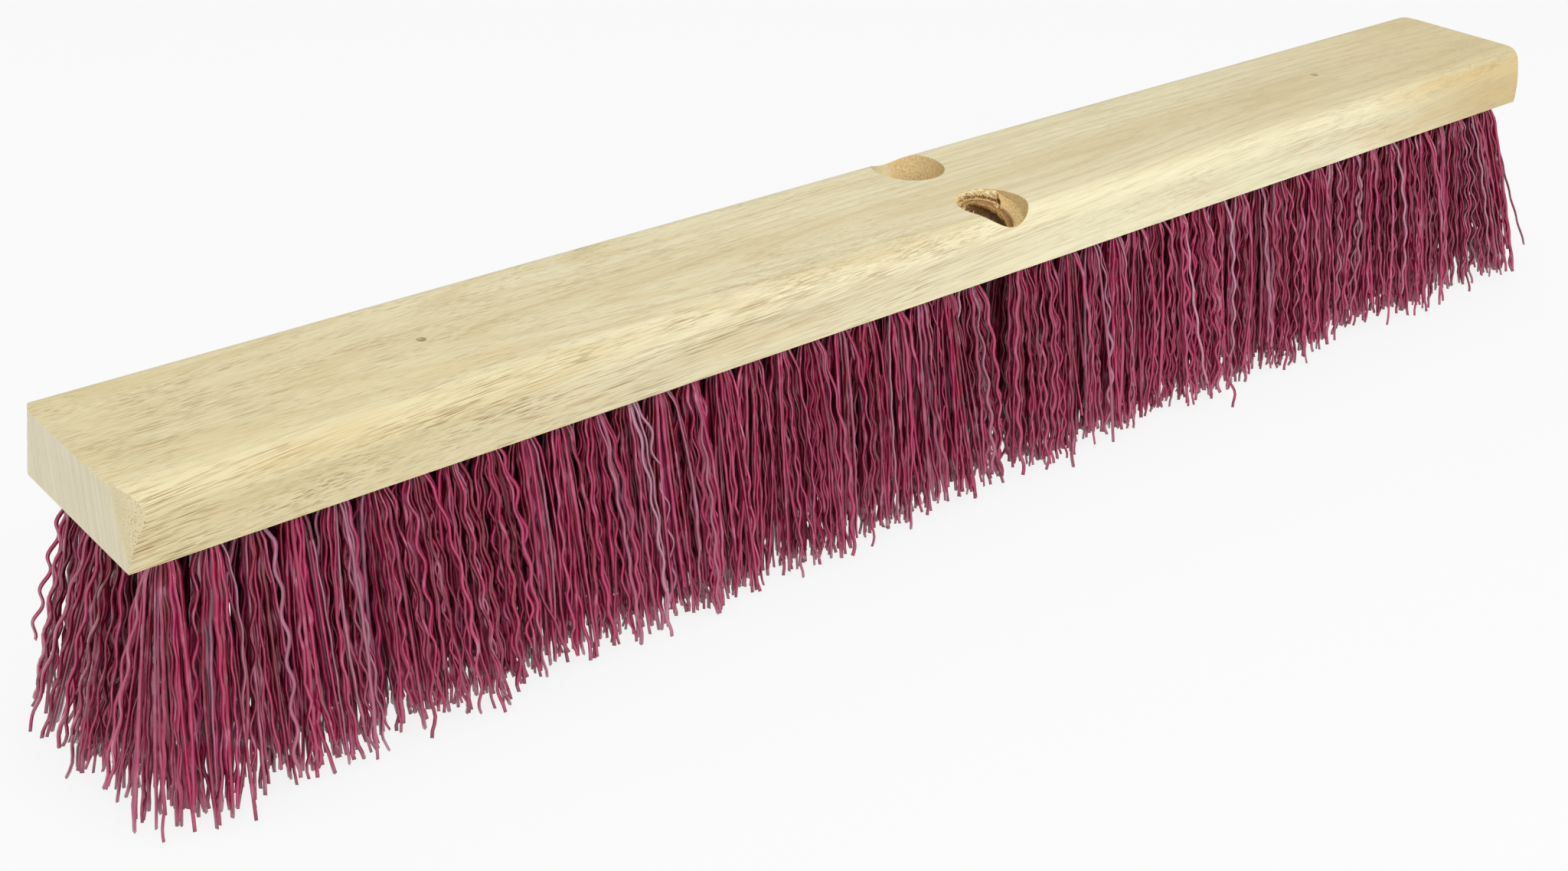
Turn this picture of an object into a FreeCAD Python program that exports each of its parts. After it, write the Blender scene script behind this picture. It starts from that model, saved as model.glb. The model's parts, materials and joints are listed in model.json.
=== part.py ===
"""Push broom head: a hardwood block, rows of crimped bristle tufts and the wire staples that hold them.

Own frame: +X along the block, +Y from its front side to its back side, +Z up.
The origin lies under the middle of the block, in the plane of the trimmed bristle tips.
"""
import FreeCAD
import Part
import Sketcher
import math
import os

App = FreeCAD
Vector = App.Vector

# Driving sizes in millimetres, and angles in degrees.
SIZES = [
    ("block_length", 609.6),
    ("block_full_width", 66.0),
    ("side_lean", 2.0),
    ("block_thickness", 22.2),
    ("shoulder_radius", 8.0),
    ("corner_inset_end", 8.0),
    ("corner_inset_side", 12.6),
    ("corner_base_end", 0.6),
    ("corner_base_side", 3.0),
    ("corner_runout", 0.2),
    ("handle_tilt", 18.0),
    ("threaded_offset", 21.2),
    ("threaded_mouth_diameter", 24.0),
    ("threaded_mouth_depth", 6.0),
    ("threaded_bore_diameter", 19.05),
    ("tapered_offset", 18.8),
    ("tapered_mouth_diameter", 25.0),
    ("tapered_base_diameter", 19.0),
    ("pilot_spacing", 406.4),
    ("pilot_diameter", 3.0),
    ("pilot_depth", 8.0),
    ("trim_length", 76.2),
    ("row_edge_margin", 7.0),
    ("tuft_pitch", 11.7),
    ("tuft_end_margin", 12.0),
    ("tuft_hole_diameter", 6.0),
    ("tuft_hole_depth", 12.5),
    ("tuft_hole_fit", 0.05),
    ("least_web", 0.3),
    ("row_splay", 5.5),
    ("end_splay", 14.0),
    ("end_splay_columns", 6.0),
    ("tip_gap", 0.5),
    ("staple_wire_diameter", 1.1),
    ("staple_leg_bite", 3.0),
    ("staple_inset", 0.3),
    ("fold_height", 2.6),
]

# Each row of tufts, by its place counted from the middle row towards the back.
ROWS = [
    ("front", -2),
    ("front_inner", -1),
    ("middle", 0),
    ("back_inner", 1),
    ("back", 2),
]
SIDES = [("left", -1), ("right", 1)]

OVERRUN = 10.0  # how far a cutting solid runs past the faces that it opens


def make_sheet(doc):
    """The spreadsheet of driving sizes, one named cell each."""
    sheet = doc.addObject("Spreadsheet::Sheet", "sizes")
    for line, (name, value) in enumerate(SIZES, start=1):
        sheet.set("A%d" % line, name)
        sheet.set("B%d" % line, str(value))
        sheet.setAlias("B%d" % line, name)
    doc.recompute()
    return sheet


def bind(thing, **formulas):
    """Tie properties of an object to the sheet; a double underscore stands for a dot."""
    for place, formula in formulas.items():
        thing.setExpression(place.replace("__", "."), formula)


def base_plane(body, role):
    """One of the body's own origin planes."""
    for feature in body.Origin.OriginFeatures:
        if feature.Role == role:
            return feature
    raise ValueError(role)


def add_sketch(body, name, role):
    """An empty sketch on one of the body's origin planes."""
    sketch = body.newObject("Sketcher::SketchObject", name)
    sketch.AttachmentSupport = [(base_plane(body, role), "")]
    sketch.MapMode = "FlatFace"
    return sketch


def measure(sketch, kind, *where, name, formula):
    """A named dimension of a sketch, driven by the sheet."""
    value = sketch.evalExpression(formula)
    number = sketch.addConstraint(Sketcher.Constraint(kind, *where, value))
    sketch.renameConstraint(number, name)
    sketch.setExpression("Constraints." + name, formula)


def make_section_stock(doc):
    """A bar with the block's cross section: leaning sides that run into rounded top shoulders."""
    body = doc.addObject("PartDesign::Body", "section_stock")
    sketch = add_sketch(body, "section", "YZ_Plane")
    sheet = doc.sizes
    full = sheet.block_full_width / 2
    base = full - sheet.side_lean
    top = sheet.block_thickness
    radius = sheet.shoulder_radius
    flat = full - radius
    spring = top - radius
    line = Part.LineSegment
    bottom = sketch.addGeometry(line(Vector(-base, 0, 0), Vector(base, 0, 0)))
    right = sketch.addGeometry(line(Vector(base, 0, 0), Vector(full, spring, 0)))
    up = Vector(0, 0, 1)
    right_arc = sketch.addGeometry(
        Part.ArcOfCircle(Part.Circle(Vector(flat, spring, 0), up, radius), 0, math.pi / 2)
    )
    crown = sketch.addGeometry(line(Vector(flat, top, 0), Vector(-flat, top, 0)))
    left_arc = sketch.addGeometry(
        Part.ArcOfCircle(Part.Circle(Vector(-flat, spring, 0), up, radius), math.pi / 2, math.pi)
    )
    left = sketch.addGeometry(line(Vector(-full, spring, 0), Vector(-base, 0, 0)))
    loop = [bottom, right, right_arc, crown, left_arc, left]
    for here, there in zip(loop, loop[1:] + loop[:1]):
        sketch.addConstraint(Sketcher.Constraint("Coincident", here, 2, there, 1))
    for flat_line in (bottom, crown):
        sketch.addConstraint(Sketcher.Constraint("Symmetric", flat_line, 1, flat_line, 2, -2))
    for arc, outer in ((right_arc, 1), (left_arc, 2)):
        # each shoulder starts level with its centre and ends straight above it
        sketch.addConstraint(Sketcher.Constraint("Horizontal", arc, 3, arc, outer))
        sketch.addConstraint(Sketcher.Constraint("Vertical", arc, 3, arc, 3 - outer))
    sketch.addConstraint(Sketcher.Constraint("Equal", right_arc, left_arc))
    sketch.addConstraint(Sketcher.Constraint("PointOnObject", bottom, 1, -1))
    measure(sketch, "Radius", right_arc, name="shoulder", formula="sizes.shoulder_radius")
    full_width = "sizes.block_full_width"
    base_width = full_width + " - 2 * sizes.side_lean"
    measure(sketch, "DistanceX", bottom, 1, bottom, 2, name="base", formula=base_width)
    measure(sketch, "DistanceX", left_arc, 2, right_arc, 1, name="full", formula=full_width)
    measure(sketch, "DistanceY", bottom, 2, crown, 1, name="rise", formula="sizes.block_thickness")
    pad = body.newObject("PartDesign::Pad", "section_pad")
    pad.Profile = sketch
    pad.Midplane = True
    bind(pad, Length="sizes.block_length + 2 * %g" % OVERRUN)
    return body


def outline_sketch(body, name, inset_end, inset_side):
    """A rectangle seen from above whose corners are eased by arcs that run on from the end faces.

    Each arc passes the block's widest line at its insets and runs a little past it.
    """
    sheet = body.Document.sizes
    sketch = add_sketch(body, name, "XY_Plane")
    half_length = sheet.block_length / 2
    half_width = sheet.block_full_width / 2 + sheet.corner_runout
    ease_x = sheet.getPropertyByName(inset_end)
    ease_y = sheet.getPropertyByName(inset_side)
    radius = (ease_x ** 2 + ease_y ** 2) / (2 * ease_x)
    rise = sheet.block_full_width / 2 - ease_y
    sweep = math.asin((half_width - rise) / radius)
    reach = half_length - radius * (1 - math.cos(sweep))
    line = Part.LineSegment
    up = Vector(0, 0, 1)

    def corner(side_x, side_y):
        centre = Vector(side_x * (half_length - radius), side_y * rise, 0)
        middle = 0 if side_x > 0 else math.pi
        edges = sorted((middle, middle + side_x * side_y * sweep))
        return sketch.addGeometry(Part.ArcOfCircle(Part.Circle(centre, up, radius), *edges))

    front = sketch.addGeometry(line(Vector(-reach, -half_width, 0), Vector(reach, -half_width, 0)))
    front_right = corner(1, -1)
    right = sketch.addGeometry(line(Vector(half_length, -rise, 0), Vector(half_length, rise, 0)))
    back_right = corner(1, 1)
    back = sketch.addGeometry(line(Vector(reach, half_width, 0), Vector(-reach, half_width, 0)))
    back_left = corner(-1, 1)
    left = sketch.addGeometry(line(Vector(-half_length, rise, 0), Vector(-half_length, -rise, 0)))
    front_left = corner(-1, -1)
    loop = [front, front_right, right, back_right, back, back_left, left, front_left]
    for here, there in zip(loop, loop[1:] + loop[:1]):
        end_face = left if left in (here, there) else right
        meets_end = end_face in (here, there)
        kind = "Tangent" if meets_end else "Coincident"
        sketch.addConstraint(Sketcher.Constraint(kind, here, 2, there, 1))
    for side in (front, back):
        sketch.addConstraint(Sketcher.Constraint("Symmetric", side, 1, side, 2, -2))
    for end in (left, right):
        sketch.addConstraint(Sketcher.Constraint("Symmetric", end, 1, end, 2, -1))
    length = "sizes.block_length"
    width = "sizes.block_full_width"
    measure(sketch, "DistanceX", left, 1, right, 2, name="length", formula=length)
    wide = width + " + 2 * sizes.corner_runout"
    measure(sketch, "DistanceY", front, 1, back, 2, name="width", formula=wide)
    for arc, tag in ((front_right, "front"), (back_right, "back")):
        squares = "sizes.%s ^ 2 + sizes.%s ^ 2" % (inset_end, inset_side)
        formula = "(%s) / (2 * sizes.%s)" % (squares, inset_end)
        measure(sketch, "Radius", arc, name="radius_" + tag, formula=formula)
    for end, tag in ((left, "left"), (right, "right")):
        low, high = (2, 1) if end == left else (1, 2)
        formula = "%s - 2 * sizes.%s" % (width, inset_side)
        measure(sketch, "DistanceY", end, low, end, high, name="rise_" + tag, formula=formula)
    return sketch


def make_plan_stock(doc):
    """A slab whose four corners are nearly square at its base and well eased at its top."""
    body = doc.addObject("PartDesign::Body", "plan_stock")
    base = outline_sketch(body, "base_outline", "corner_base_end", "corner_base_side")
    top = outline_sketch(body, "top_outline", "corner_inset_end", "corner_inset_side")
    bind(top, AttachmentOffset__Base__z="sizes.block_thickness")
    doc.recompute()
    loft = body.newObject("PartDesign::AdditiveLoft", "plan_loft")
    loft.Profile = base
    loft.Sections = [top]
    loft.Ruled = True
    return body


def tilted_cutter(doc, kind, name, side, offset, below, above):
    """A round cutter on a handle hole's leaning axis, from below to above the block's top face.

    side is -1 for the front hole and 1 for the back one; lengths are formulas along the axis.
    """
    cutter = doc.addObject(kind, name)
    cutter.Placement.Rotation = App.Rotation(Vector(-side, 0, 0), 1)
    lean = "sizes.handle_tilt"
    along = "(%s)" % below
    bind(
        cutter,
        Height="(%s) + (%s)" % (below, above),
        Placement__Rotation__Angle=lean,
        Placement__Base__y="%d * (sizes.%s - %s * sin(%s * 1deg))" % (side, offset, along, lean),
        Placement__Base__z="sizes.block_thickness - %s * cos(%s * 1deg)" % (along, lean),
    )
    return cutter


def make_handle_cutters(doc):
    """Threaded hole with its plain mouth in front, tapered hole behind, both leaning outwards."""
    through = "sizes.block_thickness / cos(sizes.handle_tilt * 1deg) + %g" % OVERRUN
    bore = tilted_cutter(doc, "Part::Cylinder", "thread_cutter", -1, "threaded_offset", through, OVERRUN)
    bind(bore, Radius="sizes.threaded_bore_diameter / 2")
    mouth = tilted_cutter(
        doc, "Part::Cylinder", "mouth_cutter", -1, "threaded_offset", "sizes.threaded_mouth_depth", OVERRUN
    )
    bind(mouth, Radius="sizes.threaded_mouth_diameter / 2")
    taper = tilted_cutter(doc, "Part::Cone", "taper_cutter", 1, "tapered_offset", through, OVERRUN)
    slope = (
        "(sizes.tapered_mouth_diameter - sizes.tapered_base_diameter) / 2"
        " * cos(sizes.handle_tilt * 1deg) / sizes.block_thickness"
    )
    bind(
        taper,
        Radius1="sizes.tapered_mouth_diameter / 2 - (%s) * (%s)" % (through, slope),
        Radius2="sizes.tapered_mouth_diameter / 2 + %g * (%s)" % (OVERRUN, slope),
    )
    return [bore, mouth, taper]


def make_pilot_cutters(doc):
    """Two blind screw pilots on the middle line of the top face."""
    pilots = []
    for side, sign in SIDES:
        pilot = doc.addObject("Part::Cylinder", "pilot_cutter_" + side)
        bind(
            pilot,
            Radius="sizes.pilot_diameter / 2",
            Height="sizes.pilot_depth + %g" % OVERRUN,
            Placement__Base__x="%d * sizes.pilot_spacing / 2" % sign,
            Placement__Base__z="sizes.block_thickness - sizes.pilot_depth",
        )
        pilots.append(pilot)
    return pilots


def handle_axis_y(sheet, side, height):
    """How far from the middle a handle hole's axis stands, at a height above the block's base."""
    offset = sheet.threaded_offset if side < 0 else sheet.tapered_offset
    drop = sheet.block_thickness - height
    return side * (offset - drop * math.tan(math.radians(sheet.handle_tilt)))


def handle_radius(sheet, side, height):
    """A handle hole's radius, where its axis stands at a height above the block's base."""
    if side < 0:
        return sheet.threaded_bore_diameter / 2
    share = height / sheet.block_thickness
    base = sheet.tapered_base_diameter
    return (base + share * (sheet.tapered_mouth_diameter - base)) / 2


def clears_handle_holes(sheet, x, y):
    """Whether a tuft hole at x, y leaves wood between itself and both handle holes."""
    narrowing = math.cos(math.radians(sheet.handle_tilt))
    for side in (-1, 1):
        for height in (0, sheet.tuft_hole_depth):
            off_axis = (y - handle_axis_y(sheet, side, height)) * narrowing
            reach = handle_radius(sheet, side, height) + sheet.tuft_hole_diameter / 2
            if math.hypot(x, off_axis) - reach < sheet.least_web:
                return False
    return True


def column_layout(sheet):
    """The last tuft's distance from the middle, how many steps lead there, and one step's length."""
    half_span = sheet.block_length / 2 - sheet.tuft_end_margin
    columns = round(half_span / sheet.tuft_pitch)
    return half_span, columns, half_span / columns


def column_places(sheet, staggered):
    """Distances of one side's tufts from the middle of the block, counted outwards."""
    _, columns, step = column_layout(sheet)
    if staggered:
        return [(column + 0.5) * step for column in range(columns)]
    return [column * step for column in range(columns + 1)]


def row_pitch(sheet):
    """Spacing of the rows, which keeps the outer ones at their distance from the base's edges."""
    half_base = sheet.block_full_width / 2 - sheet.side_lean
    outermost = ROWS[-1][1]
    return (half_base - sheet.row_edge_margin) / outermost


def tuft_sites(sheet, row, sign):
    """Hole centres of one row on one side of the middle; a tuft on the middle line counts as left."""
    y = row * row_pitch(sheet)
    places = column_places(sheet, staggered=row % 2 != 0)
    sites = [(sign * place, y) for place in places if place > 0 or sign < 0]
    return [(x, y) for x, y in sites if clears_handle_holes(sheet, x, y)]


def end_fan(sheet, x):
    """How far the tip of a tuft at x stands out past its root: the end columns fan outwards."""
    half_span, _, step = column_layout(sheet)
    from_end = (half_span - x) / step
    return sheet.end_splay * max(0.0, 1 - from_end / sheet.end_splay_columns) ** 2


def tuft_spread(sheet, x, row):
    """A tuft's lean along and across the block, and the half width of its tip along the block."""
    _, _, step = column_layout(sheet)
    tip_pitch = step + end_fan(sheet, abs(x)) - end_fan(sheet, abs(x) - step)
    lean_x = math.copysign(end_fan(sheet, abs(x)), x)
    return lean_x, sheet.row_splay * row, (tip_pitch - sheet.tip_gap) / 2


def staple_leg_place(sheet):
    """How far each staple leg stands from the middle of its tuft hole."""
    return (sheet.tuft_hole_diameter - sheet.staple_wire_diameter) / 2 - sheet.staple_inset


def staple_shape(sheet):
    """A wire staple across the fold of a tuft, its two legs driven on into the wood.

    It stands at the middle of a hole whose mouth is at height zero.
    """
    wire = sheet.staple_wire_diameter / 2
    crown_height = sheet.tuft_hole_depth - sheet.fold_height
    leg_place = staple_leg_place(sheet)
    leg_length = sheet.fold_height + sheet.staple_leg_bite
    crown = Part.makeCylinder(
        wire, 2 * leg_place, Vector(-leg_place, 0, crown_height), Vector(1, 0, 0)
    )
    pieces = []
    for sign in (-1, 1):
        foot = Vector(sign * leg_place, 0, crown_height)
        pieces.append(Part.makeCylinder(wire, leg_length, foot))
        pieces.append(Part.makeSphere(wire, foot))
    return crown.fuse(pieces).removeSplitter()


def tuft_plug(sheet):
    """The folded part of a tuft, which fills its hole around the staple."""
    radius = sheet.tuft_hole_diameter / 2 - sheet.tuft_hole_fit
    return Part.makeCylinder(radius, sheet.tuft_hole_depth).cut(staple_shape(sheet))


def tuft_flare(sheet, lean_x, lean_y, tip_x):
    """The free bristles of a tuft, which spread from the mouth of the hole to the trimmed tips."""
    radius = sheet.tuft_hole_diameter / 2 - sheet.tuft_hole_fit
    tip_y = (row_pitch(sheet) + sheet.row_splay - sheet.tip_gap) / 2
    root = Part.Wire(Part.makeCircle(radius))
    widen = App.Matrix()
    widen.scale(tip_x / radius, tip_y / radius, 1)
    tip = root.transformGeometry(widen)
    tip.translate(Vector(lean_x, lean_y, -sheet.trim_length))
    return Part.makeLoft([tip, root], True, True)


def make_group(doc, name, solids):
    """One node that holds a group of separate solids."""
    group = doc.addObject("Part::Feature", name)
    group.Shape = Part.makeCompound(solids)
    return group


def make_tufts(doc, name, row, sign, plug, shapes):
    """The tufts of one row on one side, each in its own hole and fanned by its place."""
    sheet = doc.sizes
    tufts = []
    for x, y in tuft_sites(sheet, row, sign):
        spread = tuft_spread(sheet, x, row)
        if spread not in shapes:
            shapes[spread] = plug.fuse(tuft_flare(sheet, *spread))
        tuft = shapes[spread].copy()
        tuft.translate(Vector(x, y, sheet.trim_length))
        tufts.append(tuft)
    return make_group(doc, name, tufts)


def make_staples(doc, name, row, sign, staple):
    """The staples of one row on one side."""
    sheet = doc.sizes
    staples = []
    for x, y in tuft_sites(sheet, row, sign):
        copy = staple.copy()
        copy.translate(Vector(x, y, sheet.trim_length))
        staples.append(copy)
    return make_group(doc, name, staples)


def make_tuft_cutters(doc):
    """The blind holes that take the tufts, and the prints that the staple legs leave above them."""
    sheet = doc.sizes
    wire = sheet.staple_wire_diameter / 2
    leg_place = staple_leg_place(sheet)
    holes = []
    prints = []
    for _, row in ROWS:
        for _, sign in SIDES:
            for x, y in tuft_sites(sheet, row, sign):
                holes.append(
                    Part.makeCylinder(
                        sheet.tuft_hole_diameter / 2,
                        sheet.tuft_hole_depth + OVERRUN,
                        Vector(x, y, -OVERRUN),
                    )
                )
                for leg in (-1, 1):
                    foot = Vector(x + leg * leg_place, y, sheet.tuft_hole_depth - wire)
                    prints.append(Part.makeCylinder(wire, wire + sheet.staple_leg_bite, foot))
    return [make_group(doc, "tuft_drill", holes), make_group(doc, "staple_prints", prints)]


def cut_away(doc, name, base, tool):
    """One boolean cut."""
    cut = doc.addObject("Part::Cut", name)
    cut.Base = base
    cut.Tool = tool
    return cut


def make_block(doc):
    """The hardwood block, built from its base up and then raised onto the bristles."""
    blank = doc.addObject("Part::Common", "block_blank")
    blank.Base = make_section_stock(doc)
    blank.Tool = make_plan_stock(doc)
    sockets = doc.addObject("Part::MultiFuse", "socket_cutters")
    sockets.Shapes = make_handle_cutters(doc) + make_pilot_cutters(doc)
    drill, prints = make_tuft_cutters(doc)
    bored = cut_away(doc, "block_bored", blank, sockets)
    drilled = cut_away(doc, "block_drilled", bored, drill)
    block = cut_away(doc, "block", drilled, prints)
    bind(block, Placement__Base__z="sizes.trim_length")
    return block


def check_document(doc, nodes):
    """Stop if a feature failed, or if a node's shape is empty or not valid."""
    for thing in doc.Objects:
        if {"Invalid", "Error"} & set(thing.State):
            raise RuntimeError("failed feature: " + thing.Label)
    for node in nodes:
        if node.Shape.isNull() or not node.Shape.Solids or not node.Shape.isValid():
            raise RuntimeError("bad shape: " + node.Label)


def main():
    doc = App.newDocument("push_broom_head")
    sheet = make_sheet(doc)
    nodes = [make_block(doc)]
    staple = staple_shape(sheet)
    plug = tuft_plug(sheet)
    shapes = {}
    for row_name, row in ROWS:
        for side, sign in SIDES:
            place = "%s_%s" % (row_name, side)
            nodes.append(make_tufts(doc, "tufts_" + place, row, sign, plug, shapes))
            nodes.append(make_staples(doc, "staples_" + place, row, sign, staple))
    doc.recompute()
    check_document(doc, nodes)
    os.makedirs("parts", exist_ok=True)
    for node in nodes:
        node.Shape.exportStep("parts/%s.step" % node.Label)
        print(node.Label, len(node.Shape.Solids), round(node.Shape.Volume))


main()
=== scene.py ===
import json
import math
import random

import bmesh
import bpy
from mathutils import Matrix, Vector, noise


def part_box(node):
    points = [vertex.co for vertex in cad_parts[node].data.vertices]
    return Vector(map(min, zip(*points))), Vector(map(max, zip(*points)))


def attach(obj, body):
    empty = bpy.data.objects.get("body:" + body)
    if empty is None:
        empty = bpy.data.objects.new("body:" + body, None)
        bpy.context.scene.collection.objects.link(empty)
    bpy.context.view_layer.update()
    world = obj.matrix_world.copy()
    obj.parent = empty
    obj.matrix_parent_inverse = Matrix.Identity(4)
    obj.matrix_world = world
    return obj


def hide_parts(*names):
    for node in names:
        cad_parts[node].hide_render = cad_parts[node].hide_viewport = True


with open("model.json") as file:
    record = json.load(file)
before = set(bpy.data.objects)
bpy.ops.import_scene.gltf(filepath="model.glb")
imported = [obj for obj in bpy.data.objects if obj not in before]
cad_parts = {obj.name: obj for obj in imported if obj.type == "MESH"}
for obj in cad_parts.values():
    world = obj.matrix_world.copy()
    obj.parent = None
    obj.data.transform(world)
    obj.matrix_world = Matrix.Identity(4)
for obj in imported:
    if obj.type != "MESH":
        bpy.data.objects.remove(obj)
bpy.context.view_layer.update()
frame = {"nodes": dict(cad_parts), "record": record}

# All lengths are in metres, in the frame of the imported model:
# +X along the block, +Y from its front side to its back side, +Z up from the trimmed tips.
MM = 0.001

# Where the tufts are set. Each row is counted from the middle one towards the back, and its
# tips stand out to its own side. Towards the ends of the block the last columns fan out too.
ROWS = (("front", -2), ("front_inner", -1), ("middle", 0), ("back_inner", 1), ("back", 2))
SIDES = ("left", "right")
COLUMN_STEP = 11.712 * MM
ROW_LEAN = 5.5 * MM
END_COLUMNS = 6.0

HOLE_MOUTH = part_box("block")[0].z


def eased(value, low, high):
    """A share that eases from 0 to 1 between two values."""
    share = min(1.0, max(0.0, (value - low) / (high - low)))
    return share * share * (3 - 2 * share)


def mount_named(name):
    """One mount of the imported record."""
    return next(mount for mount in frame["record"]["mounts"] if mount["name"] == name)


# ---------------------------------------------------------------- shader building

def add(tree, kind, inputs=None, **settings):
    """One shader node; inputs are given by name or number, as a value or another node's output."""
    node = tree.nodes.new("ShaderNode" + kind)
    for name, value in settings.items():
        setattr(node, name, value)
    for name, value in (inputs or {}).items():
        if isinstance(value, bpy.types.NodeSocket):
            tree.links.new(value, node.inputs[name])
        else:
            node.inputs[name].default_value = value
    return node


def calc(tree, operation, first, second=0.0, clamp=False):
    """The result of one sum."""
    node = add(tree, "Math", {0: first, 1: second}, operation=operation, use_clamp=clamp)
    return node.outputs[0]


def remap(tree, value, low, high, to_low=0.0, to_high=1.0):
    """A value eased from one range to another."""
    node = add(
        tree,
        "MapRange",
        {"Value": value, "From Min": low, "From Max": high, "To Min": to_low, "To Max": to_high},
        interpolation_type="SMOOTHSTEP",
    )
    return node.outputs["Result"]


def blend_color(tree, share, base, over):
    """One colour laid over another."""
    node = add(tree, "Mix", {"Factor": share}, data_type="RGBA", blend_type="MIX")
    for socket, value in ((node.inputs[6], base), (node.inputs[7], over)):
        if isinstance(value, bpy.types.NodeSocket):
            tree.links.new(value, socket)
        else:
            socket.default_value = value
    return node.outputs[2]


def ramp(tree, value, stops):
    """A colour picked from a row of stops."""
    node = add(tree, "ValToRGB", {"Fac": value})
    band = node.color_ramp
    while len(band.elements) < len(stops):
        band.elements.new(0.5)
    for element, (place, color) in zip(band.elements, stops):
        element.position = place
        element.color = color
    return node.outputs["Color"]


def new_material(name):
    """An empty material with its Principled shader."""
    material = bpy.data.materials.new(name)
    material.use_nodes = True
    tree = material.node_tree
    return material, tree, tree.nodes["Principled BSDF"]


def tint(red, green, blue):
    """A shader colour from the red, green and blue of a colour chart, 0 to 255."""
    def linear(part):
        part /= 255
        return part / 12.92 if part <= 0.04045 else ((part + 0.055) / 1.055) ** 2.4
    return linear(red), linear(green), linear(blue), 1.0


def surface_mottle():
    """Shared group: cloudy changes of gloss and a fine tooth, as hands and sanding leave them."""
    group = bpy.data.node_groups.new("surface_mottle", "ShaderNodeTree")
    face = group.interface
    face.new_socket("Scale", in_out="INPUT", socket_type="NodeSocketFloat")
    face.new_socket("Smooth", in_out="INPUT", socket_type="NodeSocketFloat")
    face.new_socket("Rough", in_out="INPUT", socket_type="NodeSocketFloat")
    face.new_socket("Roughness", in_out="OUTPUT", socket_type="NodeSocketFloat")
    face.new_socket("Tooth", in_out="OUTPUT", socket_type="NodeSocketFloat")
    source = group.nodes.new("NodeGroupInput")
    result = group.nodes.new("NodeGroupOutput")
    place = add(group, "TexCoord").outputs["Object"]
    clouds = add(
        group, "TexNoise", {"Vector": place, "Scale": source.outputs["Scale"], "Detail": 3.0}
    ).outputs["Fac"]
    fine = calc(group, "MULTIPLY", source.outputs["Scale"], 14.0)
    tooth = add(group, "TexNoise", {"Vector": place, "Scale": fine, "Detail": 2.0}).outputs["Fac"]
    share = remap(group, clouds, 0.3, 0.7)
    spread = calc(group, "SUBTRACT", source.outputs["Rough"], source.outputs["Smooth"])
    rough = calc(group, "MULTIPLY_ADD", share, spread)
    group.links.new(source.outputs["Smooth"], rough.node.inputs[2])
    group.links.new(rough, result.inputs["Roughness"])
    group.links.new(tooth, result.inputs["Tooth"])
    return group


MOTTLE = surface_mottle()


def mottle(tree, scale, smooth, rough):
    """The shared mottling with one material's own values."""
    node = add(tree, "Group", node_tree=MOTTLE)
    for name, value in (("Scale", scale), ("Smooth", smooth), ("Rough", rough)):
        node.inputs[name].default_value = value
    return node.outputs["Roughness"], node.outputs["Tooth"]


def raw_cut_wood_and_shade():
    """Shared group: speckled wood as a drill leaves it, from pale torn fibres through tan to a dark
    brown, whose dark end is painted shade in hollows.
    """
    group = bpy.data.node_groups.new("raw_cut_wood_and_shade", "ShaderNodeTree")
    face = group.interface
    face.new_socket("Depth", in_out="INPUT", socket_type="NodeSocketFloat")
    face.new_socket("Color", in_out="OUTPUT", socket_type="NodeSocketColor")
    face.new_socket("Height", in_out="OUTPUT", socket_type="NodeSocketFloat")
    source = group.nodes.new("NodeGroupInput")
    result = group.nodes.new("NodeGroupOutput")
    place = add(group, "TexCoord").outputs["Object"]
    speckle = add(
        group, "TexNoise", {"Vector": place, "Scale": 1700.0, "Detail": 2.0, "Roughness": 0.7}
    ).outputs["Fac"]
    uneven = remap(group, speckle, 0.25, 0.75, 0.14, -0.14)
    color = ramp(
        group,
        calc(group, "ADD", source.outputs["Depth"], uneven),
        [
            (0.00, tint(246, 232, 190)),
            (0.32, tint(230, 202, 142)),
            (0.62, tint(172, 128, 70)),
            (1.00, tint(88, 56, 22)),
        ],
    )
    group.links.new(color, result.inputs["Color"])
    group.links.new(speckle, result.inputs["Height"])
    return group


RAW_WOOD_AND_SHADE = raw_cut_wood_and_shade()


def raw_wood_and_shade(tree, depth):
    """The shared raw wood at one level of tone and painted shade, as a colour and a height."""
    node = add(tree, "Group", node_tree=RAW_WOOD_AND_SHADE)
    tree.links.new(depth, node.inputs["Depth"])
    return node.outputs["Color"], node.outputs["Height"]


# ---------------------------------------------------------------- the hardwood block

# The front hole's mouth has a floor, so far above its mount's place. The back hole has the
# given radius at its mount's place and widens upwards by its taper.
MOUTH_RADIUS = 12.0 * MM
MOUTH_ABOVE_MOUNT = 8.67 * MM
TAPERED_RADIUS = 12.5 * MM
TAPER = 0.1285
EVEN_DARKNESS = 0.36


def grain_place(tree, place):
    """Block coordinates turned and gently bent, so that their X axis follows the grain."""
    bend = add(tree, "Mapping", {"Vector": place, "Scale": (4.5, 9.0, 9.0)}).outputs["Vector"]
    sway = add(tree, "TexNoise", {"Vector": bend, "Scale": 1.0, "Detail": 1.0}).outputs["Color"]
    sway = add(
        tree, "VectorMath", {0: sway, 1: (0.5, 0.5, 0.5)}, operation="SUBTRACT"
    ).outputs[0]
    sway = add(
        tree, "VectorMath", {0: sway, 1: (0.0, 16.0 * MM, 12.0 * MM)}, operation="MULTIPLY"
    ).outputs[0]
    bent = add(tree, "VectorMath", {0: place, 1: sway}, operation="ADD").outputs[0]
    turn = (0.0, math.radians(3.2), math.radians(-0.6))
    return add(tree, "Mapping", {"Vector": bent, "Rotation": turn}).outputs["Vector"]


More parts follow.
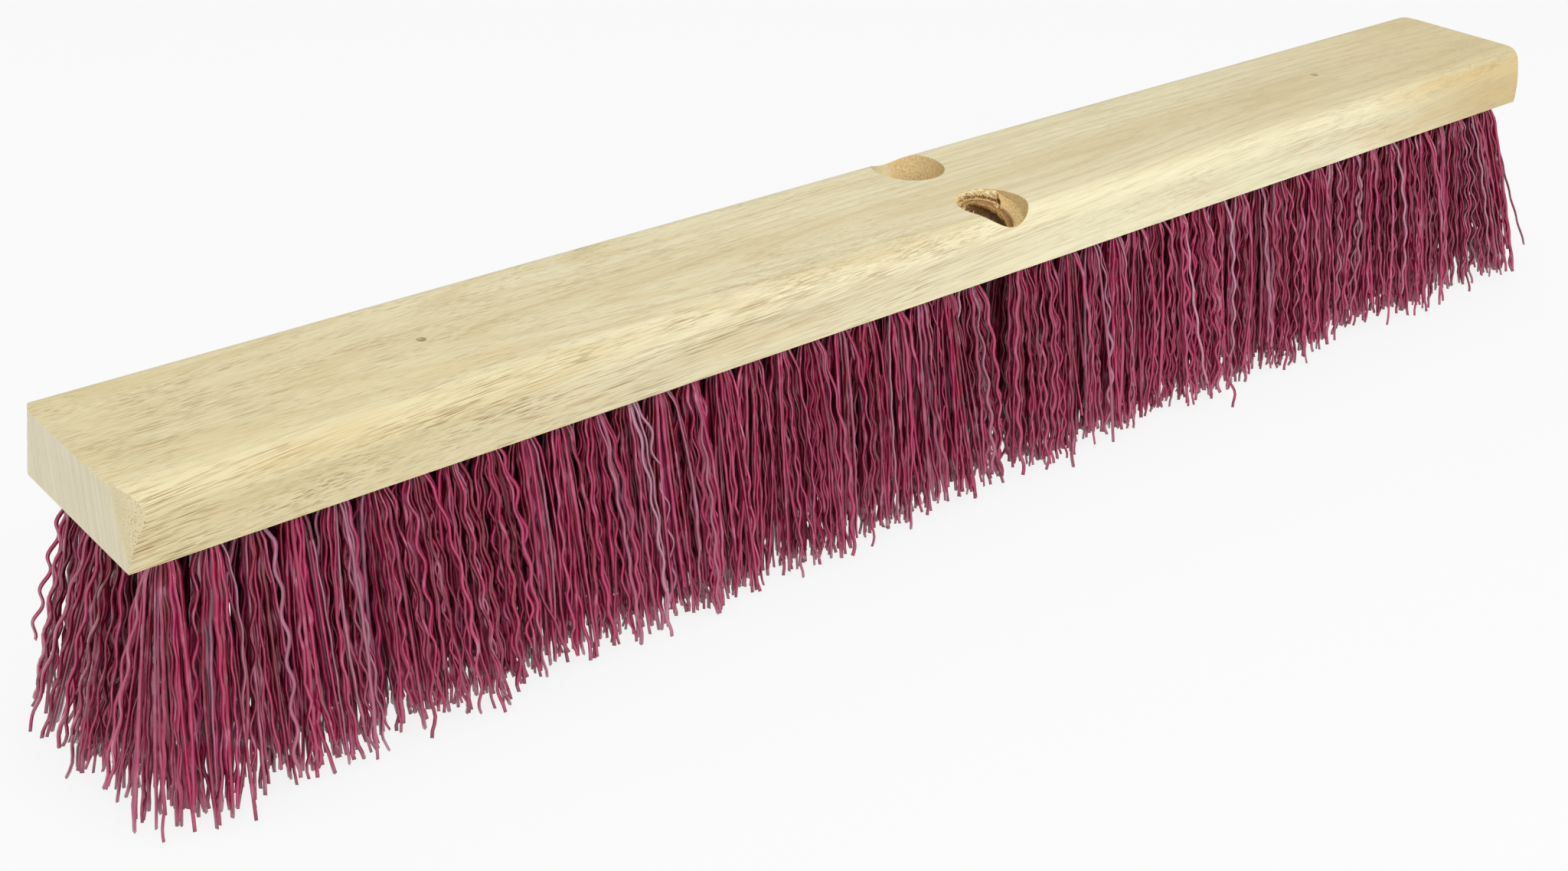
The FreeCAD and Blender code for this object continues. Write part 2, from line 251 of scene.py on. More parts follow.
def grain_noise(tree, grain, along, across, shift, detail=3.0, roughness=0.55):
    """Soft noise drawn out along the grain, with so many changes per metre along and across."""
    vector = add(
        tree,
        "Mapping",
        {"Vector": grain, "Location": (shift, shift, shift), "Scale": (along, across, across)},
    ).outputs["Vector"]
    return add(
        tree,
        "TexNoise",
        {"Vector": vector, "Scale": 1.0, "Detail": detail, "Roughness": roughness},
    ).outputs["Fac"]


def pore_mask(tree, grain, along, across, shift, floor):
    """Open pores: hollow threads in the wood that show as dashes, or as dots on end grain."""
    field = grain_noise(tree, grain, along, across, shift, 1.0, 0.4)
    over = calc(tree, "SUBTRACT", field, floor)
    return remap(tree, over, 0.0, 0.07)


def bored_mask(tree, place, mount, radius, taper=0.0):
    """Where the surface is a handle hole's wall, and how far above the mount's place it lies.

    The radius is the hole's own at the mount's place, and grows by the taper upwards.
    """
    axis = tuple(mount["axis"])
    from_axis = add(
        tree, "VectorMath", {0: place, 1: tuple(mount["pos_m"])}, operation="SUBTRACT"
    ).outputs[0]
    crossed = add(
        tree, "VectorMath", {0: from_axis, 1: axis}, operation="CROSS_PRODUCT"
    ).outputs[0]
    up = add(
        tree, "VectorMath", {0: from_axis, 1: axis}, operation="DOT_PRODUCT"
    ).outputs["Value"]
    distance = add(tree, "VectorMath", {0: crossed}, operation="LENGTH").outputs["Value"]
    outside = calc(tree, "SUBTRACT", distance, calc(tree, "MULTIPLY", up, taper))
    wall = remap(tree, outside, radius + 0.03 * MM, radius + 0.18 * MM, 1.0, 0.0)
    return wall, up


def block_places(tree):
    """Places on the block, and masks of its flat ends, its eased corners and its front side."""
    place = add(tree, "TexCoord").outputs["Object"]
    parts = add(tree, "SeparateXYZ", {0: place}).outputs
    normal = add(tree, "NewGeometry").outputs["Normal"]
    facing = add(tree, "SeparateXYZ", {0: normal}).outputs
    sideways = calc(tree, "ABSOLUTE", facing["X"])
    flat_end = remap(tree, sideways, 0.90, 0.998)
    turning = remap(tree, sideways, 0.15, 0.45)
    return {
        "place": place,
        "parts": parts,
        "facing": facing,
        "grain": grain_place(tree, place),
        "flat_end": flat_end,
        "eased_corner": calc(tree, "MULTIPLY", turning, calc(tree, "SUBTRACT", 1.0, flat_end)),
        "front": remap(tree, parts["Y"], -31.5 * MM, -27.5 * MM, 1.0, 0.0),
    }


def plank_color(tree, block, fibres):
    """Cream bands with growth lines and fibres, painted light on the front side, and tan at both ends.
    """
    grain = block["grain"]
    parts = block["parts"]
    front = block["front"]
    bands = grain_noise(tree, grain, 2.2, 46.0, 0.4, 3.0)
    color = ramp(
        tree,
        bands,
        [
            (0.30, tint(226, 212, 168)),
            (0.43, tint(232, 220, 179)),
            (0.58, tint(238, 228, 190)),
            (0.72, tint(229, 215, 171)),
        ],
    )

    # growth lines: level lines of a slow field, which close into an eye here and there
    slow = grain_noise(tree, grain, 3.0, 21.0, 7.4, 0.0)
    rings = calc(tree, "SINE", calc(tree, "MULTIPLY", slow, 95.0))
    lines = remap(tree, rings, 0.35, 1.0, 0.0, 0.26)
    color = blend_color(tree, lines, color, tint(206, 180, 122))

    # painted light: the front side is painted lighter from the middle on and most towards its foot, and
    # it is tan at its right end
    low = remap(tree, parts["Z"], 0.092, 0.078, 0.62, 1.0)
    painted_front_light = calc(tree, "MULTIPLY", front, remap(tree, parts["X"], -0.20, 0.04, 0.05, 0.95))
    color = blend_color(tree, calc(tree, "MULTIPLY", painted_front_light, low), color, tint(253, 246, 208))
    right_tan = calc(
        tree,
        "MULTIPLY",
        remap(tree, parts["X"], 0.18, 0.29),
        remap(tree, front, 0.0, 1.0, 0.45, 0.95),
    )
    color = blend_color(tree, right_tan, color, tint(222, 198, 142))
    left_tan = remap(tree, parts["X"], -0.13, -0.26, 0.0, 0.42)
    color = blend_color(tree, left_tan, color, tint(222, 204, 152))
    return blend_color(tree, remap(tree, fibres, 0.42, 0.72, 0.0, 0.34), color, tint(198, 178, 130))


def flush_share(tree, block):
    """Tan flushes, strongest along the front shoulder and away from the block's middle."""
    parts = block["parts"]
    flush = grain_noise(tree, block["grain"], 12.0, 105.0, 5.1, 2.0, 0.5)
    shoulder = calc(
        tree,
        "MULTIPLY",
        remap(tree, parts["Y"], -0.034, -0.029, 0.35, 1.0),
        remap(tree, parts["Y"], -0.027, -0.012, 1.0, 0.15),
    )
    rightward = remap(tree, parts["X"], -0.10, 0.26, 0.7, 1.0)
    flush = calc(tree, "MULTIPLY", remap(tree, flush, 0.50, 0.66), shoulder)
    flush = calc(tree, "MULTIPLY", flush, rightward)
    from_middle = calc(tree, "ABSOLUTE", calc(tree, "ADD", parts["X"], 0.04))
    flush = calc(tree, "MULTIPLY", flush, remap(tree, from_middle, 0.03, 0.08, 0.25, 1.0))
    return calc(tree, "MULTIPLY", flush, 0.45)


def open_pores(tree, block):
    """Pores as dashes, closer together where the grain is coarse, and as dots on the corners."""
    grain = block["grain"]
    eased_corner = block["eased_corner"]
    coarse = grain_noise(tree, grain, 5.0, 34.0, 8.3, 2.0)
    floor = remap(tree, coarse, 0.36, 0.62, 0.625, 0.550)
    leftward = remap(tree, block["parts"]["X"], 0.0, -0.16, 0.0, 0.045)
    floor = calc(tree, "SUBTRACT", floor, calc(tree, "MULTIPLY", block["front"], leftward))
    long_pores = pore_mask(tree, grain, 46.0, 3000.0, 0.3, floor)
    short_pores = pore_mask(tree, grain, 110.0, 3700.0, 3.7, floor)
    pores = calc(tree, "MAXIMUM", long_pores, calc(tree, "MULTIPLY", short_pores, 0.7))
    depth = remap(tree, grain_noise(tree, grain, 40.0, 160.0, 6.2), 0.35, 0.65, 0.3, 1.0)
    pores = calc(tree, "MULTIPLY", pores, depth)
    dots = pore_mask(tree, grain, 150.0, 4000.0, 2.9, 0.605)
    pores = calc(
        tree,
        "ADD",
        calc(tree, "MULTIPLY", pores, calc(tree, "SUBTRACT", 1.0, eased_corner)),
        calc(tree, "MULTIPLY", dots, eased_corner),
    )
    return calc(tree, "MULTIPLY", pores, remap(tree, block["flat_end"], 0.0, 1.0, 1.0, 0.2))


def sawn_color(tree, block):
    """The faint upright saw marks of the flat ends."""
    scale = (1.0, 620.0, 22.0)
    marks = add(tree, "Mapping", {"Vector": block["place"], "Scale": scale}).outputs["Vector"]
    marks = add(tree, "TexNoise", {"Vector": marks, "Scale": 1.0, "Detail": 2.0}).outputs["Fac"]
    return ramp(tree, marks, [(0.35, tint(220, 211, 182)), (0.65, tint(233, 226, 200))])


def hole_walls(tree, block):
    """The handle holes' walls, and the raw wood's tone there, with painted shade that darkens the front
    hole below its mouth.
    """
    place = block["place"]
    parts = block["parts"]
    facing = block["facing"]
    front_wall, front_up = bored_mask(
        tree, place, mount_named("threaded_handle_hole"), MOUTH_RADIUS
    )
    back_wall, _ = bored_mask(
        tree, place, mount_named("tapered_handle_hole"), TAPERED_RADIUS, TAPER
    )
    pale_left = calc(
        tree,
        "MULTIPLY",
        remap(tree, parts["X"], -1.0 * MM, 4.5 * MM, 0.85, 0.0),
        remap(tree, parts["Y"], 23 * MM, 28 * MM),
    )
    back_wall = calc(tree, "MULTIPLY", back_wall, calc(tree, "SUBTRACT", 1.0, pale_left))
    wall = calc(tree, "MAXIMUM", front_wall, back_wall)
    below_top = remap(tree, facing["Z"], 0.99, 0.96, 0.0, 1.0)
    above_base = remap(tree, facing["Z"], -0.97, -0.90, 0.0, 1.0)
    wall = calc(tree, "MULTIPLY", wall, calc(tree, "MULTIPLY", below_top, above_base))
    # painted shade: the front hole's raw wall darkens downwards from its mouth
    painted_bore_shade = calc(
        tree,
        "MULTIPLY",
        front_wall,
        remap(tree, front_up, MOUTH_ABOVE_MOUNT + 0.5 * MM, MOUTH_ABOVE_MOUNT - 6 * MM, 0.0, 0.5),
    )
    return wall, calc(tree, "ADD", painted_bore_shade, EVEN_DARKNESS)


def make_hardwood():
    """Pale sanded hardwood: cream with brown pores, tan flushes and speckled end grain."""
    material, tree, shader = new_material("pale_hardwood")
    block = block_places(tree)
    fibres = grain_noise(tree, block["grain"], 24.0, 900.0, 1.7, 3.0, 0.6)
    color = plank_color(tree, block, fibres)
    color = blend_color(tree, flush_share(tree, block), color, tint(226, 190, 124))
    corner = calc(tree, "MULTIPLY", block["eased_corner"], 0.7)
    color = blend_color(tree, corner, color, tint(214, 202, 164))

    # pores are plainest on the left, and on the front side rather than on the top
    pores = open_pores(tree, block)
    share = calc(
        tree, "MULTIPLY", pores, remap(tree, block["parts"]["X"], -0.17, 0.06, 0.78, 0.34)
    )
    share = calc(tree, "MULTIPLY", share, remap(tree, block["front"], 0.0, 1.0, 0.68, 1.0))
    color = blend_color(tree, share, color, tint(154, 118, 68))
    sawn = calc(tree, "MULTIPLY", block["flat_end"], 0.72)
    color = blend_color(tree, sawn, color, sawn_color(tree, block))

    # the holes' walls take the raw wood's tone, with painted shade far down the front hole
    wall, raw_tone_and_shade = hole_walls(tree, block)
    raw, speckle = raw_wood_and_shade(tree, raw_tone_and_shade)
    color = blend_color(tree, calc(tree, "MULTIPLY", wall, 0.9), color, raw)
    tree.links.new(color, shader.inputs["Base Color"])

    rough, tooth = mottle(tree, 35.0, 0.46, 0.58)
    rough = calc(tree, "ADD", rough, calc(tree, "MULTIPLY", wall, 0.2), clamp=True)
    tree.links.new(rough, shader.inputs["Roughness"])
    height = calc(tree, "MULTIPLY", fibres, 0.5)
    height = calc(tree, "SUBTRACT", height, calc(tree, "MULTIPLY", pores, 0.8))
    height = calc(tree, "ADD", height, calc(tree, "MULTIPLY", tooth, 0.15))
    speckle = calc(tree, "MULTIPLY", speckle, wall)
    height = calc(tree, "ADD", height, calc(tree, "MULTIPLY", speckle, 2.0))
    bump = add(tree, "Bump", {"Height": height, "Strength": 0.35, "Distance": 0.12 * MM})
    tree.links.new(bump.outputs["Normal"], shader.inputs["Normal"])
    return material


# ---------------------------------------------------------------- bristle plastic and staple wire

def make_bristle_plastic():
    """Glossy, slightly translucent plastic bristles, each with its own wine, magenta or mauve, with
    painted glints and painted light towards the tips.
    """
    material, tree, shader = new_material("wine_bristle_plastic")
    own = add(tree, "Attribute", attribute_name="bristle_tone_and_light").outputs["Fac"]
    run = add(tree, "Attribute", attribute_name="bristle_run").outputs["Fac"]
    color = ramp(
        tree,
        own,
        [
            (0.00, tint(112, 12, 36)),
            (0.22, tint(142, 22, 56)),
            (0.45, tint(182, 36, 92)),
            (0.68, tint(176, 56, 100)),
            (0.84, tint(164, 100, 124)),
            (1.00, tint(232, 180, 200)),
        ],
    )
    place = add(tree, "TexCoord").outputs["Object"]
    along = add(tree, "Mapping", {"Vector": place, "Scale": (230.0, 230.0, 95.0)})
    clouds = add(
        tree, "TexNoise", {"Vector": along.outputs["Vector"], "Scale": 1.0, "Detail": 2.0}
    ).outputs["Fac"]
    # painted light: the lower half of each bristle turns pinker towards its tip, where the tufts stand
    # in more light
    color = blend_color(tree, remap(tree, run, 0.5, 1.0, 0.0, 0.4), color, tint(200, 60, 114))
    # painted glints: pale pink streaks drawn out along the bristles stand in for highlights on their
    # waves
    painted_glints = remap(tree, clouds, 0.55, 0.72, 0.0, 0.42)
    color = blend_color(tree, painted_glints, color, tint(228, 140, 178))
    tree.links.new(color, shader.inputs["Base Color"])
    shader.inputs["Specular IOR Level"].default_value = 0.7
    shader.inputs["Coat Weight"].default_value = 0.6
    shader.inputs["Coat Roughness"].default_value = 0.10
    rough, tooth = mottle(tree, 260.0, 0.15, 0.27)
    tree.links.new(rough, shader.inputs["Roughness"])
    bump = add(tree, "Bump", {"Height": tooth, "Strength": 0.12, "Distance": 0.05 * MM})
    tree.links.new(bump.outputs["Normal"], shader.inputs["Normal"])
    return material


def make_staple_wire():
    """Bright drawn steel wire with fine draw marks and a little tarnish."""
    material, tree, shader = new_material("drawn_steel_wire")
    place = add(tree, "TexCoord").outputs["Object"]
    marks = add(tree, "Mapping", {"Vector": place, "Scale": (300.0, 9000.0, 9000.0)})
    drawn = add(
        tree, "TexNoise", {"Vector": marks.outputs["Vector"], "Scale": 1.0, "Detail": 2.0}
    ).outputs["Fac"]
    tarnish = add(
        tree, "TexNoise", {"Vector": place, "Scale": 900.0, "Detail": 3.0}
    ).outputs["Fac"]
    color = blend_color(
        tree, remap(tree, tarnish, 0.5, 0.75), tint(196, 196, 192), tint(150, 138, 118)
    )
    tree.links.new(color, shader.inputs["Base Color"])
    shader.inputs["Metallic"].default_value = 1.0
    rough, tooth = mottle(tree, 400.0, 0.28, 0.45)
    tree.links.new(rough, shader.inputs["Roughness"])
    height = calc(tree, "ADD", drawn, calc(tree, "MULTIPLY", tooth, 0.3))
    bump = add(tree, "Bump", {"Height": height, "Strength": 0.2, "Distance": 0.02 * MM})
    tree.links.new(bump.outputs["Normal"], shader.inputs["Normal"])
    return material


# ---------------------------------------------------------------- tufts of crimped bristles

# Half of a row's first or last staple, as its box has it.
STAPLE_HALF = 2.7 * MM
BRISTLES_PER_TUFT = 37
PLAIN_STEPS = 17
BRISTLE_CORNERS = ((-0.62 * MM, -0.27 * MM), (0.62 * MM, -0.27 * MM), (0.0, 0.54 * MM))
BRISTLE_SIDES = len(BRISTLE_CORNERS)
GOLDEN_TURN = math.pi * (3 - math.sqrt(5))
# A tuft fills its hole up to the root height and swells by the puff below the block.
ROOT_RADIUS = 2.45 * MM
ROOT_HEIGHT = 9.5 * MM
ROOT_PUFF = 1.4 * MM
SWELL_DEPTH = 7 * MM
CRIMP_LENGTH = 12.0 * MM
CRIMP_DEPTH = 0.80 * MM
# How far the last tips of each row stand out past the ends, and how much more on the right.
END_REACH = {-2: 12.5 * MM, -1: 19.0 * MM, 0: 16.0 * MM, 1: 19.0 * MM, 2: 9.5 * MM}
RIGHT_REACH = 7.0 * MM
# Tips beside the handle holes fall in towards the gap, over so many columns.
GAP_REACH = 4.5 * MM
GAP_COLUMNS = 3.5
# Shares of the bristles that stray, that are trimmed short, and, in the outer part of a tuft,
# that stand proud of it, with lighter tones as painted light.
STRAY_SHARE = 0.05
SHORT_SHARE = 0.15
PROUD_SHARE = 0.34
PROUD_FROM = 0.75


def tuft_places(place):
    """Where a row's tufts stand on one side, read from the staples that hold them."""
    low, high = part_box("staples_" + place)
    first = low.x + STAPLE_HALF
    last = high.x - STAPLE_HALF
    count = round((last - first) / COLUMN_STEP) + 1
    step = (last - first) / (count - 1)
    return [(first + number * step, (low.y + high.y) / 2) for number in range(count)]


def end_lean(row, x, tufts_in):
    """How far tips stand out past their root, so many tufts in from the end of their row."""
    reach = END_REACH[row] + (RIGHT_REACH if x > 0 else 0.0)
    return reach * max(0.0, 1 - tufts_in / END_COLUMNS) ** 2


def gap_lean(x):
    """How far the tips beside the handle holes fall in towards the missing tufts."""
    columns_out = abs(x) / COLUMN_STEP
    return -math.copysign(GAP_REACH * max(0.0, 1 - columns_out / GAP_COLUMNS), x)


def make_tuft(rng, row, x, y, last):
    """One tuft: how it leans and fans out, and what its bristles share."""
    tufts_in = (last - abs(x)) / COLUMN_STEP
    lean = end_lean(row, x, tufts_in)
    tip_pitch = COLUMN_STEP + lean - end_lean(row, x, tufts_in + 1)
    return {
        "x": x,
        "y": y,
        "at_end": tufts_in < 0.5,
        "turn": rng.uniform(0, 2 * math.pi),
        "half_x": tip_pitch * rng.uniform(0.36, 0.50),
        "half_y": rng.uniform(5.5, 7.5) * MM,
        "lean_x": math.copysign(lean, x) + gap_lean(x) + rng.gauss(0, 1.7) * MM,
        "lean_y": ROW_LEAN * row + rng.gauss(0, 1.6) * MM,
        "tip": abs(rng.gauss(0, 2.2)) * MM,
        "phase": rng.uniform(0, 2 * math.pi),
        "crimp_turn": rng.uniform(0, math.pi),
        "tone": rng.gauss(0, 0.05),
        "fine": abs(row) == 2 or tufts_in < 3,
    }


def make_bristle(rng, tuft, number):
    """One bristle: how it leans, waves and ends."""
    share = math.sqrt((number + 0.5) / BRISTLES_PER_TUFT)
    bearing = number * GOLDEN_TURN + tuft["turn"]
    across = Vector((math.cos(bearing), math.sin(bearing), 0.0)) * share
    stray = Vector((rng.gauss(0, 2.0), rng.gauss(0, 1.6), 0.0)) * MM
    if rng.random() < STRAY_SHARE:
        stray *= 3
    bristle = {
        "root": Vector((tuft["x"], tuft["y"], HOLE_MOUTH)) + across * ROOT_RADIUS,
        "out": Vector(
            (
                tuft["lean_x"] + across.x * (tuft["half_x"] - ROOT_RADIUS) + stray.x,
                tuft["lean_y"] + across.y * (tuft["half_y"] - ROOT_RADIUS) + stray.y,
                0.0,
            )
        ),
        "tip": tuft["tip"] + (0.3 + abs(rng.gauss(0, 2.2))) * MM,
        "fall": rng.uniform(0.85, 1.2),
        "length": CRIMP_LENGTH * rng.gauss(1.0, 0.05),
        "phase": tuft["phase"] + rng.gauss(0, 0.35),
        "turn": tuft["crimp_turn"] + rng.gauss(0, 0.3),
        "twist": rng.gauss(0, 0.4),
        "depth": CRIMP_DEPTH * min(1.6, max(0.15, rng.gauss(0.72, 0.28))),
        "bow": Vector((rng.gauss(0, 1.2), rng.gauss(0, 0.9), 0.0)) * MM,
        "puff": across * ROOT_PUFF,
    }
    if rng.random() < SHORT_SHARE:
        bristle["tip"] += rng.uniform(3, 12) * MM
    # its own tone, mostly dark wine: partly the plastic's colour, partly painted shade in the tuft's
    # mass
    bristle["tone"] = rng.betavariate(1.6, 2.9) + tuft["tone"]

    # bristles that can be seen one by one have more points, the more so the deeper they wave
    bristle["steps"] = PLAIN_STEPS
    if tuft["fine"] and share > 0.5:
        bristle["steps"] = round(12 + 43 * bristle["depth"] / MM)
    # painted light: the proud bristles take lighter tones, standing out lit against the shaded mass
    if share > PROUD_FROM and rng.random() < PROUD_SHARE:
        bristle["tone"] = rng.uniform(0.36, 0.90)
        bristle["steps"] = round(1.35 * bristle["steps"])
        bristle["puff"] *= 1.6
        bristle["bow"] = across * rng.uniform(0.5, 3.0) * MM

    # the end tufts lean straight out, and every twelfth of their bristles goes further
    if tuft["at_end"]:
        bristle["fall"] = rng.uniform(0.92, 1.1)
        bristle["bow"] *= 0.4
        if number % 12 == 11:
            bristle["out"].x += math.copysign(5.5 * MM, tuft["x"])
            bristle["tip"] += 6 * MM
    return bristle


def bristle_line(bristle):
    """Centre line of one crimped bristle, from inside its hole down to its tip."""
    drop = HOLE_MOUTH - bristle["tip"]
    whole = drop + ROOT_HEIGHT
    steps = bristle["steps"]
    points = []
    for step in range(steps + 1):
        fallen = whole * step / steps - ROOT_HEIGHT
        below = max(0.0, fallen / drop)
        swell = eased(fallen, 0.0, SWELL_DEPTH)
        angle = bristle["turn"] + bristle["twist"] * below
        wave = math.sin(2 * math.pi * fallen / bristle["length"] + bristle["phase"])
        side = Vector((math.cos(angle), math.sin(angle), 0.0)) * wave * bristle["depth"] * swell
        arc = bristle["bow"] * math.sin(math.pi * below) * 1.4 + bristle["puff"] * swell
        point = bristle["root"] + bristle["out"] * below ** bristle["fall"] + side + arc
        points.append((point.x, point.y, HOLE_MOUTH - fallen))
    return points


def bristle_profile():
    """The three-cornered section that a bristle is swept with, a little wider than it is thick."""
    curve = bpy.data.curves.new("bristle_profile", "CURVE")
    curve.dimensions = "2D"
    line = curve.splines.new("POLY")
    line.points.add(BRISTLE_SIDES - 1)
    for point, (x, y) in zip(line.points, BRISTLE_CORNERS):
        point.co = (x, y, 0.0, 1.0)
    line.use_cyclic_u = True
    return bpy.data.objects.new("bristle_profile", curve)


def add_bristle(curve, rng, bristle):
    """Draw one bristle into its row's curve, with its own thickness and twist."""
    steps = bristle["steps"]
    points = bristle_line(bristle)
    line = curve.splines.new("POLY")
    line.points.add(len(points) - 1)
    line.points.foreach_set("co", [c for point in points for c in (*point, 1.0)])
    thick = rng.uniform(0.80, 1.08)
    turn = rng.uniform(0, 2 * math.pi)
    twist = rng.gauss(0, 1.6)
    line.points.foreach_set("radius", [thick] * len(points))
    line.points.foreach_set("tilt", [turn + twist * n / steps for n in range(len(points))])
    line.use_smooth = True


def swept_mesh(curve):
    """The curve's swept shape as a mesh. The curve itself is removed."""
    sketch = bpy.data.objects.new("sketch_of_" + curve.name, curve)
    bpy.context.collection.objects.link(sketch)
    graph = bpy.context.evaluated_depsgraph_get()
    mesh = bpy.data.meshes.new_from_object(sketch.evaluated_get(graph))
    bpy.data.objects.remove(sketch)
    bpy.data.curves.remove(curve)
    return mesh


def close_tips(mesh):
    """Close both cut ends of every bristle."""
    bm = bmesh.new()
    bm.from_mesh(mesh)
    open_edges = [edge for edge in bm.edges if edge.is_boundary]
    bmesh.ops.holes_fill(bm, edges=open_edges, sides=BRISTLE_SIDES)
    bm.to_mesh(mesh)
    bm.free()


def mark_bristles(mesh, drawn):
    """Write each bristle's tone, with painted light on the proud ones, and how far along it each point
    is.
    """
    own = []
    run = []
    for bristle in drawn:
        steps = bristle["steps"]
        tone = min(1.0, max(0.0, bristle["tone"]))
        own.extend([tone] * ((steps + 1) * BRISTLE_SIDES))
        run.extend(step / steps for step in range(steps + 1) for _ in range(BRISTLE_SIDES))
    if len(own) != len(mesh.vertices):
        raise RuntimeError("the bristles have %d points too many" % (len(mesh.vertices) - len(own)))
    for name, values in (("bristle_tone_and_light", own), ("bristle_run", run)):
        mesh.attributes.new(name, "FLOAT", "POINT").data.foreach_set("value", values)


def make_row(place, row, plastic, profile):
    """All bristles of one row on one side of the block, as one mesh."""
    rng = random.Random("row " + place)
    curve = bpy.data.curves.new("bristles_" + place, "CURVE")
    curve.dimensions = "3D"
    curve.bevel_mode = "OBJECT"
    curve.bevel_object = profile
    curve.twist_mode = "MINIMUM"
    places = tuft_places(place)
    last = max(abs(x) for x, _ in places)
    drawn = []
    for x, y in places:
        tuft = make_tuft(rng, row, x, y, last)
        for number in range(BRISTLES_PER_TUFT):
            bristle = make_bristle(rng, tuft, number)
            add_bristle(curve, rng, bristle)
            drawn.append(bristle)
    mesh = swept_mesh(curve)
    close_tips(mesh)
    mark_bristles(mesh, drawn)
    mesh.materials.clear()
    mesh.materials.append(plastic)
    bristles = bpy.data.objects.new("bristles_" + place, mesh)
    bpy.context.collection.objects.link(bristles)
    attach(bristles, "root")
    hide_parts("tufts_" + place)


# ---------------------------------------------------------------- torn wood in the front handle hole

THREAD_PITCH = 5.08 * MM
THREAD_TURNS = 4.4
THREAD_STEPS = 72  # in one turn
THREAD_CREST = 1.7
THREAD_SECTION = (
    (0.35, -1.75), (-0.5, -1.25), (-THREAD_CREST, -0.55),
    (-THREAD_CREST, 0.45), (-0.5, 1.2), (0.35, 1.75),
)
# The lining of the hole's mouth, from its rim down into the bore, as radius and height above the
# mouth's floor in mm: torn fibres over a groove and a ridge, or a smooth slope. Bearings are in
# degrees from the right, by way of the back, and the lining leaves the front side open.
TORN_LINING = (
    (12.20, 1.00), (11.60, 0.85), (10.95, 0.42), (11.30, 0.08),
    (9.90, -0.02), (8.95, -0.55), (9.00, -2.00), (9.90, -2.80),
)
SMOOTH_LINING = (
    (12.20, 2.90), (11.98, 2.60), (11.60, 2.00), (10.90, 1.35),
    (10.00, 0.62), (9.50, 0.00), (9.45, -2.20), (9.90, -2.80),
)
# Painted shade along the torn lining, one value to each row of TORN_LINING: darkest in the groove under
# the torn fibres and far down the bore, lightest at the rim.
TORN_LINING_SHADE = (0.00, 0.00, 0.14, 0.92, 0.62, 0.34, 0.78, 1.00)
SPLINTERS = 260
SPLINTER_BEARINGS = (34, 205)
LINING_START = -70
LINING_SPAN = 300
LINING_ROWS = 44
LINING_COLUMNS = 300
# The rim stands so high above the mouth's floor at the sides, and so much lower at the back.
RIM_HEIGHT = 6.0
RIM_SLANT = 3.9
# The tear starts on the right along a slanted edge, and fades out on the left.
TEAR_EDGE = 39
TEAR_EDGE_HEIGHT = 3.4
TEAR_EDGE_SLANT = 6.4
TEAR_FADE = (190, 225)


def make_torn_wood():
    """Torn, splintered wood: pale fibres, with painted shade that darkens the hollows between them."""
    material, tree, shader = new_material("torn_hardwood")
    # the raw wood's tone, with painted shade in the hollows, as written on the torn pieces
    depth = add(tree, "Attribute", attribute_name="tear_tone_and_shade").outputs["Fac"]
    color, speckle = raw_wood_and_shade(tree, depth)
    tree.links.new(color, shader.inputs["Base Color"])
    rough, tooth = mottle(tree, 300.0, 0.62, 0.8)
    tree.links.new(rough, shader.inputs["Roughness"])
    height = calc(tree, "ADD", speckle, calc(tree, "MULTIPLY", tooth, 0.3))
    bump = add(tree, "Bump", {"Height": height, "Strength": 0.5, "Distance": 0.15 * MM})
    tree.links.new(bump.outputs["Normal"], shader.inputs["Normal"])
    return material


def add_thread(bm, layer, wall):
    """The coarse thread below the mouth, torn at its crest, in the hole's own coordinates."""
    corners = [Vector((wall + out * MM, 0.0, up * MM)) for out, up in THREAD_SECTION]
    steps = int(THREAD_TURNS * THREAD_STEPS)
    rings = []
    for step in range(steps + 1):
        turns = THREAD_TURNS * step / steps
        turned = Matrix.Rotation(2 * math.pi * turns, 3, "Z")
        rise = Vector((0.0, 0.0, THREAD_PITCH * (turns - THREAD_TURNS)))
        rings.append([bm.verts.new(turned @ corner + rise) for corner in corners])
    for ring, following in zip(rings, rings[1:]):
        for number in range(len(ring)):
            before = number - 1
            bm.faces.new((ring[before], ring[number], following[number], following[before]))
    for vert in bm.verts:
        out = Vector((vert.co.x, vert.co.y, 0.0))
        inward = max(0.0, wall - out.length) / (THREAD_CREST * MM)
        tear = noise.fractal(vert.co / (1.1 * MM), 1.0, 2.0, 3)
        chip = noise.noise(vert.co / (4.5 * MM))
        # painted shade: lighter on the torn crest, darker off it and further down the bore
        vert[layer] = 0.86 - 0.34 * inward - 0.02 * vert.co.z / MM
        vert.co += out.normalized() * (tear * 0.45 + max(0.0, chip) * 1.3) * inward * MM
        vert.co.z += noise.noise(vert.co / (0.9 * MM) + Vector((7, 7, 7))) * 0.35 * MM * inward


